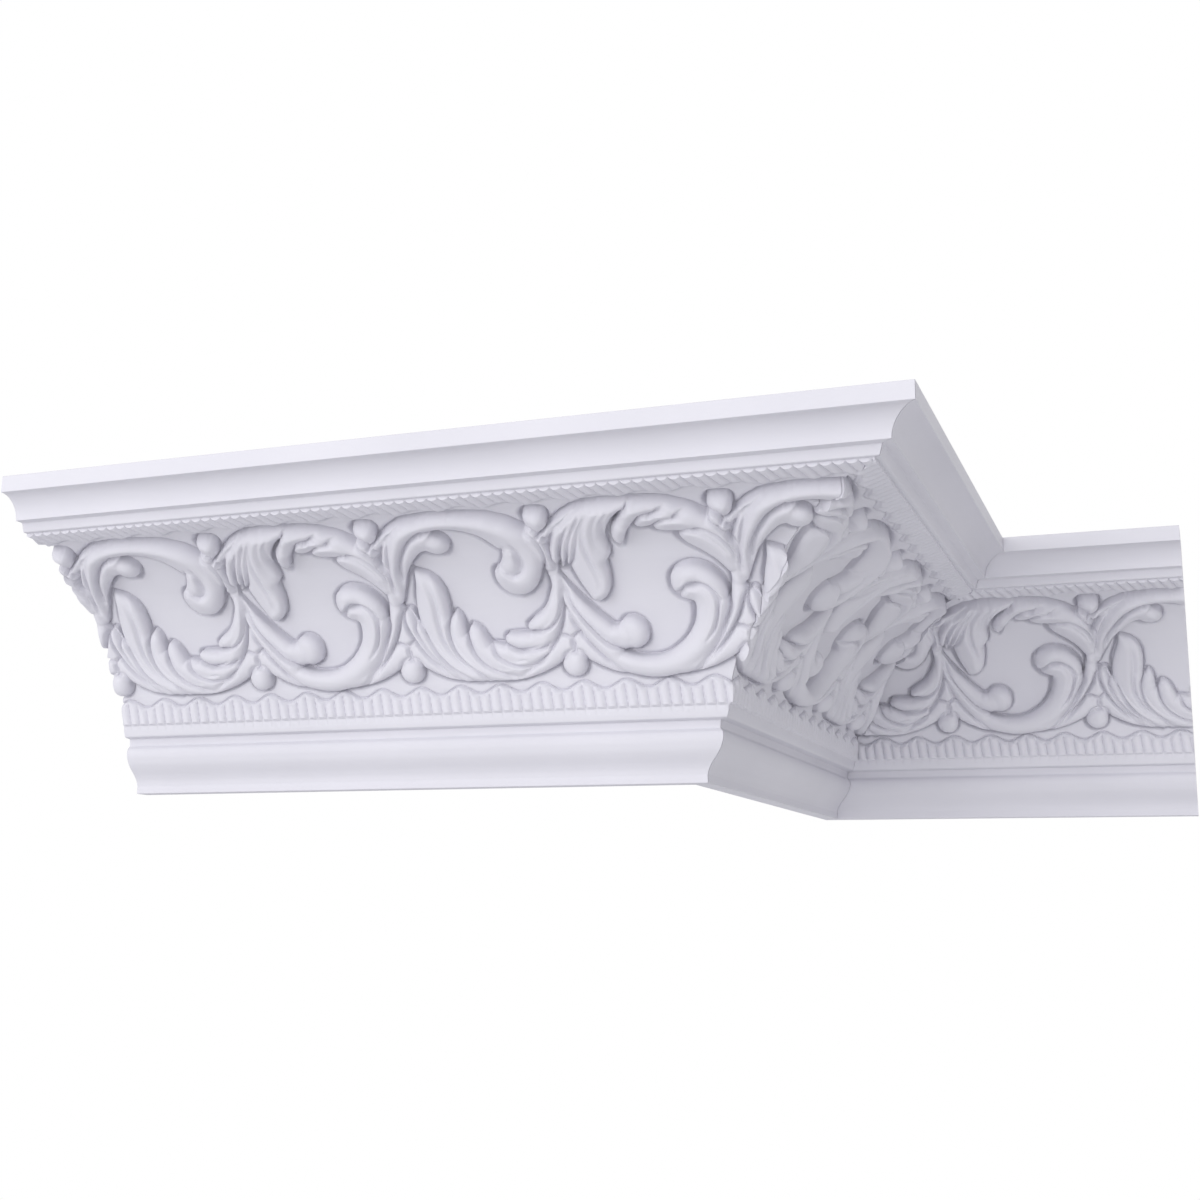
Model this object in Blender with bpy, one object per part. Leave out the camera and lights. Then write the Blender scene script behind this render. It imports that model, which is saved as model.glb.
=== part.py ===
"""Crown moulding with scrolling acanthus, running round an outer and an inner corner.

Three mitred lengths make it up: a front length, a return length and a rear length. Each one is a
swept profile that carries a carved panel on its hollow face. Sizes are in millimetres up to
place_length().

Every length is modelled in its own run frame: X runs along the moulding from left to right, -Y is
the projection from the wall and Z is up, with the wall at Y = 0 and the ceiling at Z = 0.
"""
import bpy
import bmesh
import math
import numpy as np
from mathutils import Matrix, Vector

MM = 0.001

# Sizes of the whole moulding.
HEIGHT = 175.0
PROJECTION = 157.5
FRONT_LENGTH = 377.1
RETURN_LENGTH = 334.6
REAR_LENGTH = 267.6
MITRE_GAP = 0.3
SPARE = 8.0

# Profile members, as projection from the wall and drop from the ceiling.
TOP_FILLET = 9.9
COVE_RADIUS = 13.7
FASCIA_TOP = (137.9, 23.8)
FASCIA_FOOT = (136.0, 29.2)
UPPER_BAND_OUTER = (133.0, 28.8)
GROUND_TOP = (112.0, 33.25)
GROUND_FOOT = (30.6, 120.75)
GROUND_SAGITTA = 13.65
LOWER_FILLET_TOP = (28.4, 136.6)
LOWER_FILLET_FOOT = (27.1, 140.0)
GROOVE_TOP = (22.0, 140.6)
GROOVE_FOOT = (21.5, 145.3)
CYMA_TOP = (23.5, 147.2)
CYMA_MIDDLE = (17.4, 161.0)
CYMA_FOOT = (10.8, 170.0)
BACK_WALL_TOP = 108.0
BACK_CEILING_INNER = 100.5

# The carved panel: v runs down the hollow face from its top, h stands out from it.
PANEL_TOP = -21.6
PANEL_FOOT = 137.4
PANEL_BED = 2.0
PANEL_DEPTH = 4.0
LOWER_BAND_SLOPE = 9.6
KINK_SOFTNESS = 3.0

# Carving: loops of foliage of two kinds, A and B, by turns along the run.
LOOP_PITCH = 104.6
PATTERN = 2 * LOOP_PITCH
FRONT_START = -162.0
RETURN_START = -46.0
REAR_START = -1.7
CREST = 7.8
LEAF_CREST = 6.4

# The two borders have scalloped edges, four scallops to a loop.
SCALLOP_PITCH = LOOP_PITCH / 4
LOWER_SCALLOP = 122.0
UPPER_SCALLOP = -6.5
SCALLOP_RISE = 2.3
BORDER_RISE = 2.2
BORDER_EDGE = 1.2

# Fineness of the carved panel: columns to a pattern, step down the face, share of faces kept.
COLUMNS = 140
ROW_STEP = 1.5
FACES_KEPT = 0.028

# The wall mount is the origin: the middle of the front length's flat against the wall.
ORIGIN = Vector((-FRONT_LENGTH / 2, 0, -(HEIGHT + BACK_WALL_TOP) / 2))

WHITE = (0.80, 0.79, 0.85, 1.0)
ROUGHNESS = 0.55


def clear_scene():
    for found in list(bpy.data.objects):
        bpy.data.objects.remove(found, do_unlink=True)


def make_collection(name):
    made = bpy.data.collections.new(name)
    bpy.context.scene.collection.children.link(made)
    return made


def make_material(name):
    made = bpy.data.materials.new(name)
    made.use_nodes = True
    shader = made.node_tree.nodes["Principled BSDF"]
    shader.inputs["Base Color"].default_value = WHITE
    shader.inputs["Roughness"].default_value = ROUGHNESS
    shader.inputs["Metallic"].default_value = 0.0
    return made


def down(pair):
    """A profile corner as projection and height."""
    return (pair[0], -pair[1])


def arc_points(centre, radius, start, end, steps):
    """Points on a circle from start to end, in degrees, with both ends."""
    points = []
    for step in range(steps + 1):
        angle = math.radians(start + (end - start) * step / steps)
        points.append((centre[0] + radius * math.cos(angle), centre[1] + radius * math.sin(angle)))
    return points


def bulge_points(start, end, sagitta, steps):
    """Points on the arc between two places; a positive sagitta bulges to the left of the way."""
    start, end = Vector(start), Vector(end)
    chord = end - start
    radius = ((chord.length / 2) ** 2 + sagitta ** 2) / (2 * abs(sagitta))
    side = math.copysign(1, sagitta)
    left = Vector((-chord.y, chord.x)).normalized() * side
    centre = (start + end) / 2 - left * (radius - abs(sagitta))
    half = math.asin(chord.length / 2 / radius)
    middle = math.atan2(left.y, left.x)
    points = []
    for step in range(steps + 1):
        angle = middle + side * half * (1 - 2 * step / steps)
        points.append((centre.x + radius * math.cos(angle), centre.y + radius * math.sin(angle)))
    return points


class Face:
    """The hollow face: a flat upper border, a round hollow and a flat lower border."""

    top = Vector(down(GROUND_TOP))
    foot = Vector(down(GROUND_FOOT))
    chord = foot - top
    radius = ((chord.length / 2) ** 2 + GROUND_SAGITTA ** 2) / (2 * GROUND_SAGITTA)
    half_angle = math.asin(chord.length / 2 / radius)
    length = 2 * half_angle * radius
    slope = math.atan2(-chord.y, -chord.x)
    upper = Vector(down(UPPER_BAND_OUTER)) - top
    upper_slope = math.atan2(upper.y, upper.x)
    lower_slope = math.radians(90 - LOWER_BAND_SLOPE)

    @classmethod
    def tilt(cls, v):
        """Angle of the face from level at v, softened where a border meets the hollow."""
        hollow = cls.slope + (v / cls.length - 0.5) * 2 * cls.half_angle
        tilt = hollow
        if v < KINK_SOFTNESS:
            share = min(1, (KINK_SOFTNESS - v) / (2 * KINK_SOFTNESS))
            tilt = hollow + (cls.upper_slope - hollow) * share
        if v > cls.length - KINK_SOFTNESS:
            share = min(1, (v - cls.length + KINK_SOFTNESS) / (2 * KINK_SOFTNESS))
            tilt = hollow + (cls.lower_slope - hollow) * share
        return tilt

    @classmethod
    def base(cls, v):
        """Projection and height of the bare face at v."""
        if v < 0:
            return cls.top - Vector((math.cos(cls.upper_slope), math.sin(cls.upper_slope))) * v
        if v > cls.length:
            way = Vector((-math.cos(cls.lower_slope), -math.sin(cls.lower_slope)))
            return cls.foot + way * (v - cls.length)
        angle = cls.slope + (v / cls.length - 0.5) * 2 * cls.half_angle
        start = cls.slope - cls.half_angle
        turn = Vector((math.sin(start) - math.sin(angle), math.cos(angle) - math.cos(start)))
        return cls.top + turn * cls.radius

    @classmethod
    def point(cls, v, h):
        """Projection and height of a place that stands h out from the face at v."""
        tilt = cls.tilt(v)
        return cls.base(v) + Vector((math.sin(tilt), -math.cos(tilt))) * h


def profile_points():
    """The outline of the section, as projection and height, from the foot of the wall outwards."""
    cove_centre = (PROJECTION - 0.5, -TOP_FILLET - COVE_RADIUS)
    points = [(0, -HEIGHT), (CYMA_FOOT[0], -HEIGHT)]
    points += bulge_points(down(CYMA_FOOT), down(CYMA_MIDDLE), 1.0, 4)
    points += bulge_points(down(CYMA_MIDDLE), down(CYMA_TOP), -2.6, 5)[1:]
    points += [down(GROOVE_FOOT), down(GROOVE_TOP), down(LOWER_FILLET_FOOT), down(LOWER_FILLET_TOP)]
    steps = 8
    for step in range(steps + 1):
        v = PANEL_FOOT + (PANEL_TOP - PANEL_FOOT) * step / steps
        points.append(tuple(Face.point(v, -PANEL_BED)))
    points[-1] = (UPPER_BAND_OUTER[0], points[-1][1])
    points += [(UPPER_BAND_OUTER[0], -FASCIA_FOOT[1]), down(FASCIA_FOOT), down(FASCIA_TOP)]
    points += arc_points(cove_centre, COVE_RADIUS, 180, 90, 6)
    points += [(PROJECTION, -TOP_FILLET), (PROJECTION, 0), (BACK_CEILING_INNER, 0)]
    points += [(0, -BACK_WALL_TOP)]
    return points


def flow(waypoints, steps=8):
    """A smooth way through a few places, each of them (u, v, half-width)."""
    places = [np.array(place, float) for place in waypoints]
    places = [places[0] * 2 - places[1]] + places + [places[-1] * 2 - places[-2]]
    way = []
    for before, start, end, after in zip(places, places[1:], places[2:], places[3:]):
        for step in range(steps):
            t = step / steps
            linear = (end - before) * t
            square = (before * 2 - start * 5 + end * 4 - after) * t ** 2
            cube = (start * 3 - before - end * 3 + after) * t ** 3
            way.append((start * 2 + linear + square + cube) / 2)
    return way + [places[-2]]


class Relief:
    """Heights over one pattern of two loops, which repeats along the run."""

    def __init__(self):
        rows = math.ceil((PANEL_FOOT - PANEL_TOP) / ROW_STEP)
        self.u = np.arange(COLUMNS) * PATTERN / COLUMNS
        self.v = np.linspace(PANEL_TOP, PANEL_FOOT, rows + 1)
        self.height = np.zeros((rows + 1, COLUMNS))

    def across(self, u):
        """Distance along the run from u, to the nearest repeat."""
        return (self.u - u + PATTERN / 2) % PATTERN - PATTERN / 2

    def swell(self, u, v, half_width, half_length, crest):
        """Raises one round boss."""
        reach = (self.across(u)[None, :] / half_width) ** 2
        reach = reach + ((self.v - v)[:, None] / half_length) ** 2
        boss = crest * np.sqrt(np.clip(1 - reach, 0, 1))
        self.height = np.maximum(self.height, boss)

    def stem(self, waypoints, crest=CREST, offset=0.0):
        """A rounded stem or leaf lobe that swells and tapers along its way."""
        for u, v, half_width in flow(waypoints):
            rise = crest * min(1, 0.55 + half_width / 8)
            self.swell(u + offset, v, half_width, half_width, rise)


def borders(relief):
    """The scalloped borders above and below the foliage."""
    wave = SCALLOP_RISE * np.cos(2 * math.pi * relief.u / SCALLOP_PITCH)
    below = relief.v[:, None] - (LOWER_SCALLOP - wave)[None, :]
    above = (UPPER_SCALLOP - wave)[None, :] - relief.v[:, None]
    for inside in (below, above):
        rise = BORDER_RISE * np.clip(inside / BORDER_EDGE + 0.5, 0, 1)
        relief.height = np.maximum(relief.height, rise)
    foot = np.clip((PANEL_FOOT - relief.v) / 1.5, 0.3, 1)
    relief.height = relief.height * foot[:, None]


def crossing(relief, u):
    """What stands between two loops: a long bead, a short one, and the strands that frame them."""
    relief.stem([(-1, 73, 2.5), (-1, 86, 5.5), (-1, 101, 10)], 4.2, u)
    relief.swell(u, 5.5, 6.3, 10, CREST)
    relief.swell(u, 106.5, 7, 9, LEAF_CREST)
    relief.swell(u - 0.5, 25, 3.6, 2.6, CREST)
    for side in (-1, 1):
        top = [(36 * side, -2.5, 4), (20 * side, 3, 4.5), (8 * side, 14, 4), (-0.5, 29, 3)]
        foot = [(-1, 72, 2.4), (5 * side, 88, 4), (17 * side, 104, 4.6), (33 * side, 112.5, 4)]
        relief.stem(top, LEAF_CREST, u)
        relief.stem(foot, 5.6, u)


def loop_a(relief, u):
    """Loop A: a broad band curls over the top and acanthus rises from the foot."""
    band = [
        (-2, 66, 3),
        (4, 43, 4),
        (15, 20, 6),
        (32, 4, 7.5),
        (55, 0, 8),
        (75, 7, 9.5),
        (88, 24, 9.5),
        (90, 42, 7),
        (82, 54.5, 6),
        (71.5, 52, 4.6),
        (70, 42, 3),
    ]
    lobes = (
        [(7.5, 66, 1.4), (8, 84, 4.4), (20, 102, 5), (40, 113, 4)],
        [(17.5, 40, 1.4), (14.5, 60, 5), (18, 84, 6), (30, 104, 6), (48, 113, 4)],
        [(19.5, 40, 1.4), (27, 55, 5.4), (26, 77, 6), (33, 98, 7), (52, 112, 5)],
        [(35.5, 70, 1.4), (33.5, 83, 5), (38, 101, 7), (54, 112, 5)],
        [(42.5, 80, 1.6), (45, 92, 6.4), (52, 105, 7), (66, 110, 5)],
        [(54, 93.5, 2), (61, 100, 5.6), (76, 104, 5)],
        [(64.5, 90, 2.4), (73, 93.5, 5.8), (87, 92, 4)],
        [(80, 83, 2.2), (88, 82, 5.2), (99, 66, 3)],
    )
    relief.stem(band, CREST, u)
    relief.stem([(79, 26, 3), (80, 37, 4.6), (77, 44.5, 4.8)], LEAF_CREST, u)
    relief.stem([(-1, 65, 2.6), (8, 43, 3), (18, 27, 4), (28, 19.5, 5), (37, 18.5, 6)], 6, u)
    relief.swell(u + 39, 18.5, 9, 9.8, CREST)
    relief.stem([(104, 52, 2.4), (98, 75, 4.4), (85, 99, 5), (64, 113, 5), (42, 114, 3)], 7, u)
    for lobe in lobes:
        relief.stem(lobe, LEAF_CREST, u)


def loop_b(relief, u):
    """Loop B: acanthus hangs from the top and a broad band curls up from the foot."""
    band = [
        (-1, 66, 2.6),
        (2.5, 84, 4),
        (12.5, 98, 5),
        (26, 107.5, 5.6),
        (42, 111.5, 6.4),
        (58, 109, 7.2),
        (71.5, 101.5, 8.5),
        (82, 89, 9),
        (88, 76, 6.8),
        (88, 64, 7),
        (80.5, 55, 8),
        (71, 58, 6.5),
        (67, 65.5, 3.2),
    ]
    ridge = [
        (41.4, 0, 4),
        (53.5, -1, 6),
        (67.5, 2, 7.5),
        (81.5, 10, 8.5),
        (92.5, 23, 8),
        (98.5, 38, 6),
        (102, 64, 2.6),
    ]
    lobes = (
        [(5.5, 43, 2), (8.5, 30, 3.6), (14.5, 17, 4), (23.5, 7, 4), (38, 0, 3.5)],
        [(16.5, 70, 1.4), (14, 43, 5), (16.5, 28, 5), (23, 14, 4.8), (34, 4, 4)],
        [(18, 70, 1.4), (26, 57, 5.4), (24.5, 30, 5), (28, 17, 4.6), (38, 6, 4)],
        [(32, 41, 1.6), (32.5, 20, 4.4), (38, 9, 4.6), (48, 2, 4)],
        [(42, 31, 1.6), (43, 22, 3.8), (47.5, 13, 4.8), (68, 4, 4)],
        [(55.5, 19.5, 1.8), (62, 12.5, 4), (77, 13, 4)],
        [(66.5, 21.5, 2), (76, 19, 4.6), (90, 28, 4)],
        [(78.5, 28, 2), (84.5, 31.5, 4.6), (91.5, 38, 4.8), (99, 52, 3.2)],
    )
    relief.stem(band, CREST, u)
    relief.stem([(69, 69, 2), (76, 69, 4), (79.5, 77, 4.6), (78, 91, 4)], CREST - 0.6, u)
    relief.stem([(0.4, 52, 2.6), (4.5, 64, 3.6), (16, 84, 4.6), (32, 92.5, 5.5)], 6, u)
    relief.swell(u + 36.7, 90.3, 9, 9.8, CREST)
    relief.stem(ridge, CREST, u)
    relief.stem([(-1.6, 60, 2.4), (1, 40, 3.2), (9, 18, 4), (24, 3, 4), (44, -2, 3.5)], 7, u)
    relief.stem([(102, 60, 2.6), (96, 81, 4.6), (80, 104, 4.6), (60, 115, 2)], 7, u)
    for lobe in lobes:
        relief.stem(lobe, LEAF_CREST, u)


def carve():
    relief = Relief()
    for number in range(2):
        crossing(relief, number * LOOP_PITCH)
    loop_a(relief, 0)
    loop_b(relief, LOOP_PITCH)
    borders(relief)
    return relief


def object_from_mesh(name, mesh, collection):
    made = bpy.data.objects.new(name, mesh)
    collection.objects.link(made)
    return made


def mesh_of(source):
    """The mesh that an object has with its modifiers."""
    graph = bpy.context.evaluated_depsgraph_get()
    return bpy.data.meshes.new_from_object(source.evaluated_get(graph))


def apply_modifiers(target):
    spent = target.data
    target.data = mesh_of(target)
    target.modifiers.clear()
    bpy.data.meshes.remove(spent)


def drop(spent):
    mesh = spent.data
    bpy.data.objects.remove(spent, do_unlink=True)
    bpy.data.meshes.remove(mesh)


def swept_profile(name, start, end, collection):
    """The plain section, drawn as a flat curve and thickened to the length of the run."""
    curve = bpy.data.curves.new(name, "CURVE")
    curve.dimensions = "2D"
    curve.fill_mode = "BOTH"
    curve.extrude = (end - start) / 2
    outline = profile_points()
    line = curve.splines.new("POLY")
    line.points.add(len(outline) - 1)
    for point, place in zip(line.points, outline):
        point.co = (*place, 0, 1)
    line.use_cyclic_u = True
    source = object_from_mesh(name + "_curve", curve, collection)
    mesh = mesh_of(source)
    bpy.data.objects.remove(source, do_unlink=True)
    bpy.data.curves.remove(curve)
    into_run = Matrix(((0, 0, -1, (start + end) / 2), (-1, 0, 0, 0), (0, 1, 0, 0), (0, 0, 0, 1)))
    mesh.transform(into_run)
    shape = bmesh.new()
    shape.from_mesh(mesh)
    bmesh.ops.remove_doubles(shape, verts=shape.verts, dist=0.0001)
    bmesh.ops.recalc_face_normals(shape, faces=shape.faces)
    shape.to_mesh(mesh)
    shape.free()
    return object_from_mesh(name, mesh, collection)


def carved_panel(start, end, first_loop, relief, collection):
    """A slab bent to the hollow face, carved on its front, with only the facets it needs."""
    step = PATTERN / COLUMNS
    first = math.ceil((start - first_loop) / step)
    last = math.floor((end - first_loop) / step)
    fronts = [Face.point(v, 0) for v in relief.v]
    outs = [Face.point(v, 1) - Face.point(v, 0) for v in relief.v]
    beds = [Face.point(v, -PANEL_DEPTH) for v in relief.v]
    shape = bmesh.new()
    bmesh.ops.create_grid(shape, x_segments=last - first, y_segments=len(relief.v) - 1, size=0.5)
    across = last - first + 1
    for index, vertex in enumerate(shape.verts):
        row, column = divmod(index, across)
        place = fronts[row] + outs[row] * relief.height[row, (first + column) % COLUMNS]
        vertex.co = (first_loop + (first + column) * step, -place.x, place.y)
    bmesh.ops.extrude_face_region(shape, geom=shape.faces[:], use_keep_orig=True)
    shape.verts.ensure_lookup_table()
    for index in range(across * len(relief.v)):
        bed = beds[index // across]
        vertex = shape.verts[index]
        vertex.co = (vertex.co.x, -bed.x, bed.y)
    bmesh.ops.recalc_face_normals(shape, faces=shape.faces)
    mesh = bpy.data.meshes.new("carved_panel")
    shape.to_mesh(mesh)
    shape.free()
    panel = object_from_mesh("carved_panel", mesh, collection)
    lighter = panel.modifiers.new("lighter", "DECIMATE")
    lighter.ratio = FACES_KEPT
    apply_modifiers(panel)
    return panel


def join_by_boolean(target, tool, operation, solver="EXACT"):
    """Joins or cuts; a finished carving is cut with MANIFOLD, because EXACT loses its faces."""
    modifier = target.modifiers.new(operation.lower(), "BOOLEAN")
    modifier.operation = operation
    modifier.solver = solver
    modifier.object = tool
    apply_modifiers(target)


def cut_end(body, x, angle, cutters):
    """Cuts away all that lies beyond an upright plane; the angle turns its outward side from +X."""
    size = 4 * HEIGHT
    shape = bmesh.new()
    bmesh.ops.create_cube(shape, size=size)
    mesh = bpy.data.meshes.new("saw")
    shape.to_mesh(mesh)
    shape.free()
    saw = object_from_mesh("saw", mesh, cutters)
    saw.display_type = "WIRE"
    saw.hide_render = True
    turn = Matrix.Rotation(math.radians(angle), 4, "Z")
    saw.matrix_world = Matrix.Translation((x, 0, 0)) @ turn @ Matrix.Translation((size / 2, 0, 0))
    bpy.context.view_layer.update()
    join_by_boolean(body, saw, "DIFFERENCE", "MANIFOLD")
    drop(saw)


def make_length(name, start, end, first_loop, relief, collection, cutters):
    """One length with its carving, a little too long at both ends."""
    body = swept_profile(name, start - SPARE, end + SPARE, collection)
    panel = carved_panel(start - SPARE / 2, end + SPARE / 2, first_loop, relief, cutters)
    join_by_boolean(body, panel, "UNION")
    drop(panel)
    return body


def place_length(body, run_to_corner):
    """Brings a finished length to its place in metres, with the wall mount as origin."""
    body.data.transform(Matrix.Scale(MM, 4) @ Matrix.Translation(-ORIGIN) @ run_to_corner)
    body.data.materials.clear()
    body.data.materials.append(make_material(body.name + "_white"))


def main():
    clear_scene()
    moulding = make_collection("crown_moulding")
    cutters = make_collection("cutters")
    cutters.hide_render = True
    relief = carve()
    gap = MITRE_GAP / 2 * math.sqrt(2)

    front = make_length("front_length", -FRONT_LENGTH, PROJECTION, FRONT_START, relief, moulding, cutters)
    cut_end(front, -FRONT_LENGTH, 180, cutters)
    cut_end(front, -gap, 45, cutters)
    place_length(front, Matrix.Identity(4))

    side = make_length("return_length", -PROJECTION, RETURN_LENGTH, RETURN_START, relief, moulding, cutters)
    cut_end(side, gap, 135, cutters)
    cut_end(side, RETURN_LENGTH - gap, -45, cutters)
    place_length(side, Matrix.Rotation(math.radians(90), 4, "Z"))

    rear = make_length("rear_length", 0, REAR_LENGTH, REAR_START, relief, moulding, cutters)
    cut_end(rear, gap, -135, cutters)
    cut_end(rear, REAR_LENGTH, 0, cutters)
    place_length(rear, Matrix.Translation((0, RETURN_LENGTH, 0)))


main()
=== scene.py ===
"""Looks of the crown moulding: the fine carving, the white finish, the light and the camera.

Each length is rebuilt as one fine mesh that keeps the CAD solid's section, ends and carving.
Sizes are in millimetres in a run frame, with X along the run, -Y out from the wall and Z up from
the ceiling, until make_length() brings a length to its place in metres.
"""
import math

import bmesh
import bpy
import numpy as np
from mathutils import Matrix, Vector


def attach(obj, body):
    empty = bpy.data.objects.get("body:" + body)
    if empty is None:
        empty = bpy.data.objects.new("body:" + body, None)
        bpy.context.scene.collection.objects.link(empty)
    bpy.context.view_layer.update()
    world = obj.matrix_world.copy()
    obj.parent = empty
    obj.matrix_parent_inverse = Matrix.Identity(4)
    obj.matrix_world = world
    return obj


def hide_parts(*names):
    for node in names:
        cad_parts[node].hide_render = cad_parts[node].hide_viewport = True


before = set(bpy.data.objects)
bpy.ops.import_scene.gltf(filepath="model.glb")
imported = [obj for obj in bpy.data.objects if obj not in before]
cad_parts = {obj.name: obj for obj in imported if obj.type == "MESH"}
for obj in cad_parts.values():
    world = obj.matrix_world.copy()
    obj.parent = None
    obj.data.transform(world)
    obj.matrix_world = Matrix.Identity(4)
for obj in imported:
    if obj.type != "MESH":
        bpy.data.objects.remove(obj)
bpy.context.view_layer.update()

MM = 0.001

# Light: the room is brightest towards ROOM_FRONT, and the key lamp is broad and near the front.
ROOM_FRONT = (-0.12, -0.96, -0.1)
ROOM_DIM = 0.22
ROOM_BRIGHT = 1.42
KEY_PLACE = (-0.7, -2.5, 0.25)
KEY_SIZE = 1.2
KEY_POWER = 15

# Finish: two near tones in soft clouds, and a very fine grain.
TONE_DIM = (0.635, 0.628, 0.686, 1)
TONE_BRIGHT = (0.665, 0.657, 0.716, 1)
CLOUD_SCALE = 11.0
GRAIN_SCALE = 700.0
GRAIN_HEIGHT = 0.00015
ROUGHNESS = (0.54, 0.66)

# Section and lengths, as in the CAD solids.
HEIGHT = 175.0
PROJECTION = 157.5
FRONT_LENGTH = 377.1
RETURN_LENGTH = 334.6
REAR_LENGTH = 267.6
MITRE_GAP = 0.3
BACK_WALL_TOP = 108.0
BACK_CEILING_INNER = 100.5

UPPER_BAND_OUTER = (133.0, 28.8)
GROUND_TOP = (112.0, 33.25)
GROUND_FOOT = (30.6, 120.75)
GROUND_SAGITTA = 13.65
LOWER_BAND_SLOPE = 9.6
KINK_SOFTNESS = 3.0
FACE_TOP = -21.0
FACE_FOOT = 136.8

# The pattern of two loops, and where it starts on each length.
LOOP_PITCH = 104.6
PATTERN = 2 * LOOP_PITCH
FRONT_START = -162.0
RETURN_START = -46.0
REAR_START = -1.7

COLUMNS = 480
ROW_STEP = 0.5
MOST_TRIANGLES = 185000

# Carved forms: steep sides of this width and height, then a rounded top up to a crest.
WALL_WIDTH = 0.8
WALL_HEIGHT = 4.1
CREST = 9.4
LEAF = 8.8
STEM = 8.5
WEB = 7.2
LOW_WEB = 5.0
SHOULDER_WEB = 4.4
HOOK_WEB = 5.6

# Fine grooves between forms that lie on one another; they are shallower towards the top.
DENT = 2.6
VEIN = 2.3
CREASE = 0.95
TOP_GROOVES = 0.85
GROOVES = 1.35
FULL_GROOVES_AT = 45.0
OPEN_SHARE = 0.25
BOTH_OPEN = (True, True)
START_OPEN = (True, False)
END_OPEN = (False, True)
BOTH_CLOSED = (False, False)

# The sunk line in the ground about every form, which is deeper under the upper border.
MOAT = 4.3
MOAT_WIDTH = 1.05
TOP_MOAT = 5.2
TOP_MOAT_WIDTH = 2.2
TOP_MOAT_END = 12.0
EDGE_HEIGHT = 3.4

# How the sides are rounded, and how far they tuck in at the ground.
GROUND_BELOW = 2.2
ROUNDING = 5.6
TUCK = -42.0
FOOT_REACH = 5.0
SOFTNESS = 0.45
GROOVE_SOFTNESS = 0.25

# The line of sight along which the outlines were read off, and the height above the face.
SIGHT = Vector((-375, 778, 181)).normalized()
READ_HEIGHT = 4.4
SIGHT_STEP = 0.25
LOWEST = -0.25

# Borders: the place of each wavy edge, how far it waves, and the slant and depth of its ribs.
SCALLOP_PITCH = LOOP_PITCH / 4
RIB_PITCH = SCALLOP_PITCH / 4
WAVE = 2.4
LOWER_EDGE = 122.3
LOWER_SLANT = 0.12
LOWER_RIBS = 2.4
LOWER_LINE = 0.5
UPPER_EDGE = -7.6
UPPER_WAVE = 0.85
UPPER_SLANT = 0.35
UPPER_RIBS = 2.0
UPPER_LINE = 2.2
RIB_ROOT = 130.0
EDGE_LINE = 1.2
EDGE_LINE_WIDTH = 0.55


def down(pair):
    return (pair[0], -pair[1])


class Face:
    """The hollow face: a flat upper border, a round hollow and a flat lower border."""

    top = Vector(down(GROUND_TOP))
    foot = Vector(down(GROUND_FOOT))
    chord = foot - top
    radius = ((chord.length / 2) ** 2 + GROUND_SAGITTA ** 2) / (2 * GROUND_SAGITTA)
    half_angle = math.asin(chord.length / 2 / radius)
    length = 2 * half_angle * radius
    slope = math.atan2(-chord.y, -chord.x)
    upper = Vector(down(UPPER_BAND_OUTER)) - top
    upper_slope = math.atan2(upper.y, upper.x)
    lower_slope = math.radians(90 - LOWER_BAND_SLOPE)

    @classmethod
    def tilt(cls, v):
        """Angle of the face from level at v, softened where a border meets the hollow."""
        hollow = cls.slope + (v / cls.length - 0.5) * 2 * cls.half_angle
        tilt = hollow
        if v < KINK_SOFTNESS:
            share = min(1, (KINK_SOFTNESS - v) / (2 * KINK_SOFTNESS))
            tilt = hollow + (cls.upper_slope - hollow) * share
        if v > cls.length - KINK_SOFTNESS:
            share = min(1, (v - cls.length + KINK_SOFTNESS) / (2 * KINK_SOFTNESS))
            tilt = hollow + (cls.lower_slope - hollow) * share
        return tilt

    @classmethod
    def base(cls, v):
        """Projection and height of the bare face at v."""
        if v < 0:
            return cls.top - Vector((math.cos(cls.upper_slope), math.sin(cls.upper_slope))) * v
        if v > cls.length:
            way = Vector((-math.cos(cls.lower_slope), -math.sin(cls.lower_slope)))
            return cls.foot + way * (v - cls.length)
        angle = cls.slope + (v / cls.length - 0.5) * 2 * cls.half_angle
        start = cls.slope - cls.half_angle
        turn = Vector((math.sin(start) - math.sin(angle), math.cos(angle) - math.cos(start)))
        return cls.top + turn * cls.radius

    @classmethod
    def out(cls, v):
        tilt = cls.tilt(v)
        return Vector((math.sin(tilt), -math.cos(tilt)))


def rounded(corners, steps=4):
    """A line through corners (projection, drop, radius), each one rounded by its radius."""
    points = []
    for index, (p, z, radius) in enumerate(corners):
        here = Vector((p, -z))
        if radius == 0 or index in (0, len(corners) - 1):
            points.append(here)
            continue
        before = Vector((corners[index - 1][0], -corners[index - 1][1]))
        after = Vector((corners[index + 1][0], -corners[index + 1][1]))
        back = (before - here)
        ahead = (after - here)
        reach = min(radius, 0.45 * back.length, 0.45 * ahead.length)
        start = here + back.normalized() * reach
        end = here + ahead.normalized() * reach
        for step in range(steps + 1):
            t = step / steps
            points.append(start * (1 - t) ** 2 + here * 2 * t * (1 - t) + end * t ** 2)
    return points


def lower_members():
    """The section from the wall's foot up to the carved face."""
    corners = [
        (0, HEIGHT, 0),
        (10.8, HEIGHT, 0.5),
        (10.8, 170.2, 0.6),
        (11.9, 167.0, 2),
        (14.6, 163.6, 2),
        (18.4, 160.2, 3),
        (21.4, 157.0, 3),
        (23.6, 152.6, 3),
        (24.1, 149.6, 2),
        (23.5, 147.2, 0.8),
        (21.5, 145.3, 0.6),
        (22.0, 140.6, 0.6),
        (27.1, 140.0, 0.9),
        (28.4, 136.6, 0.3),
    ]
    return rounded(corners)


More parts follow.
